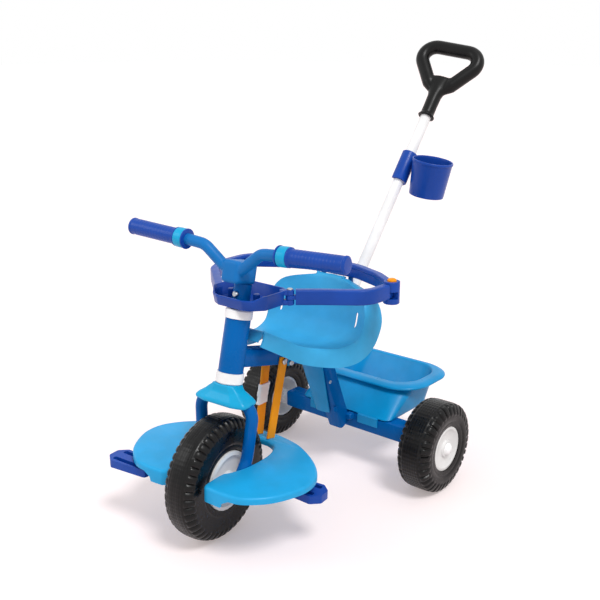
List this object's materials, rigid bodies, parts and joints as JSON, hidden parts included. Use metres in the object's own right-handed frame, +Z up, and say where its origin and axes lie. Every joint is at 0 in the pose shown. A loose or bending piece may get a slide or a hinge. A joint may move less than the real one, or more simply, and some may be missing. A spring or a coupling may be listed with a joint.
{
  "type": "tricycle",
  "caption": "Child's tricycle with raked steering, pedals, a moulded footrest, a bucket seat with a gated safety ring, a push pole with D grip and cup holder, and a rear basket.",
  "frame": {"origin": "on the ground under the middle of the whole tricycle's box", "axes": "+Z up, -Y forward (front wheel), +X to the rider's left"},
  "size_m": [0.4978, 0.9112, 0.8667],
  "materials": {
    "frame_blue": "gloss powder coat",
    "bar_blue": "moulded, semi-gloss",
    "sky_blue": "moulded, semi-gloss",
    "deck_blue": "moulded, semi-gloss",
    "basket_blue": "moulded, semi-gloss",
    "navy": "moulded, satin",
    "cyan": "moulded, semi-gloss",
    "orange": "moulded, satin",
    "white_plastic": "moulded, semi-gloss",
    "white_paint": "gloss powder coat",
    "tyre_black": "blow-moulded, satin",
    "grip_black": "moulded, satin",
    "bare_steel": "zinc plated"
  },
  "bodies": {
    "frame_body": {"frame": "frame_blue", "headset_cup_lower": "white_plastic", "headset_cup_upper": "white_plastic", "axle_beam": "frame_blue", "rear_axle": "bare_steel", "axle_bush_left": "white_plastic", "axle_bush_right": "white_plastic", "hanger_bar_left": "orange", "hanger_bar_right": "orange", "bar_sleeve": "white_plastic", "hanger_bolt": "bare_steel", "seat": "sky_blue", "seat_bolt": "bare_steel", "basket": "basket_blue", "pole_socket": "frame_blue", "ring_base": "navy", "gate_pin": "bare_steel", "latch_spring": "bare_steel", "ring_post_left": "frame_blue", "ring_post_right": "frame_blue"},
    "steering_body": {"fork": "frame_blue", "crown_cover": "cyan", "stem": "frame_blue", "stem_bolt": "bare_steel", "handlebar": "bar_blue", "bar_collar_left": "cyan", "bar_collar_right": "cyan", "grip_left": "navy", "grip_right": "navy", "footrest": "deck_blue"},
    "front_wheel_body": {"front_tyre": "tyre_black", "front_hub_left": "white_plastic", "front_hub_right": "white_plastic"},
    "crank_body": {"crank_axle": "bare_steel", "crank_arm_left": "bare_steel", "crank_arm_right": "bare_steel"},
    "pedal_left_body": {"pedal_left": "navy"},
    "pedal_right_body": {"pedal_right": "navy"},
    "rear_wheel_left_body": {"rear_tyre_left": "tyre_black", "rear_hub_left": "white_plastic", "rear_cap_left": "white_plastic"},
    "rear_wheel_right_body": {"rear_tyre_right": "tyre_black", "rear_hub_right": "white_plastic", "rear_cap_right": "white_plastic"},
    "gate_body": {"ring_gate": "navy"},
    "button_body": {"latch_button": "orange"},
    "pole_body": {"push_pole": "white_paint", "d_grip": "grip_black", "cup_holder": "navy"}
  },
  "joints": [
    {"name": "steering", "type": "hinge", "parent": "frame_body", "child": "steering_body", "pos_m": [0, -0.34024, 0.11524], "axis": [0, 0.2312, 0.9729], "range_deg": [-31.5, 18.5]},
    {"name": "front_wheel_spin", "type": "hinge", "parent": "steering_body", "child": "front_wheel_body", "pos_m": [0, -0.34024, 0.11524], "axis": [0.9936, 0.1101, -0.0262], "continuous": true},
    {"name": "crank_turn", "type": "hinge", "parent": "steering_body", "child": "crank_body", "pos_m": [0, -0.34024, 0.11524], "axis": [0.9936, 0.1101, -0.0262], "range_deg": [-3, 3]},
    {"name": "pedal_left_turn", "type": "hinge", "parent": "crank_body", "child": "pedal_left_body", "pos_m": [-0.0065, -0.28282, 0.11027], "axis": [0.9936, 0.1101, -0.0262], "range_deg": [-4, 4]},
    {"name": "pedal_right_turn", "type": "hinge", "parent": "crank_body", "child": "pedal_right_body", "pos_m": [0.0065, -0.39766, 0.12021], "axis": [0.9936, 0.1101, -0.0262], "range_deg": [-4, 4]},
    {"name": "rear_wheel_left_spin", "type": "hinge", "parent": "frame_body", "child": "rear_wheel_left_body", "pos_m": [0.2107, 0.06246, 0.09174], "axis": [1, 0, 0], "continuous": true},
    {"name": "rear_wheel_right_spin", "type": "hinge", "parent": "frame_body", "child": "rear_wheel_right_body", "pos_m": [-0.2107, 0.06246, 0.09174], "axis": [1, 0, 0], "continuous": true},
    {"name": "gate_swing", "type": "hinge", "parent": "frame_body", "child": "gate_body", "pos_m": [0.0655, -0.20954, 0.43299], "axis": [0, 0, -1], "range_deg": [0, 80]},
    {"name": "button_press", "type": "slide", "parent": "frame_body", "child": "button_body", "axis": [0, 0, -1], "range_m": [0, 0.003], "stiffness_N_per_m": 500, "springref_m": -0.003, "deforming": ["latch_spring"]},
    {"name": "pole_slide", "type": "slide", "parent": "frame_body", "child": "pole_body", "axis": [0, 0.6146, 0.7889], "range_m": [0, 0.08]}
  ]
}
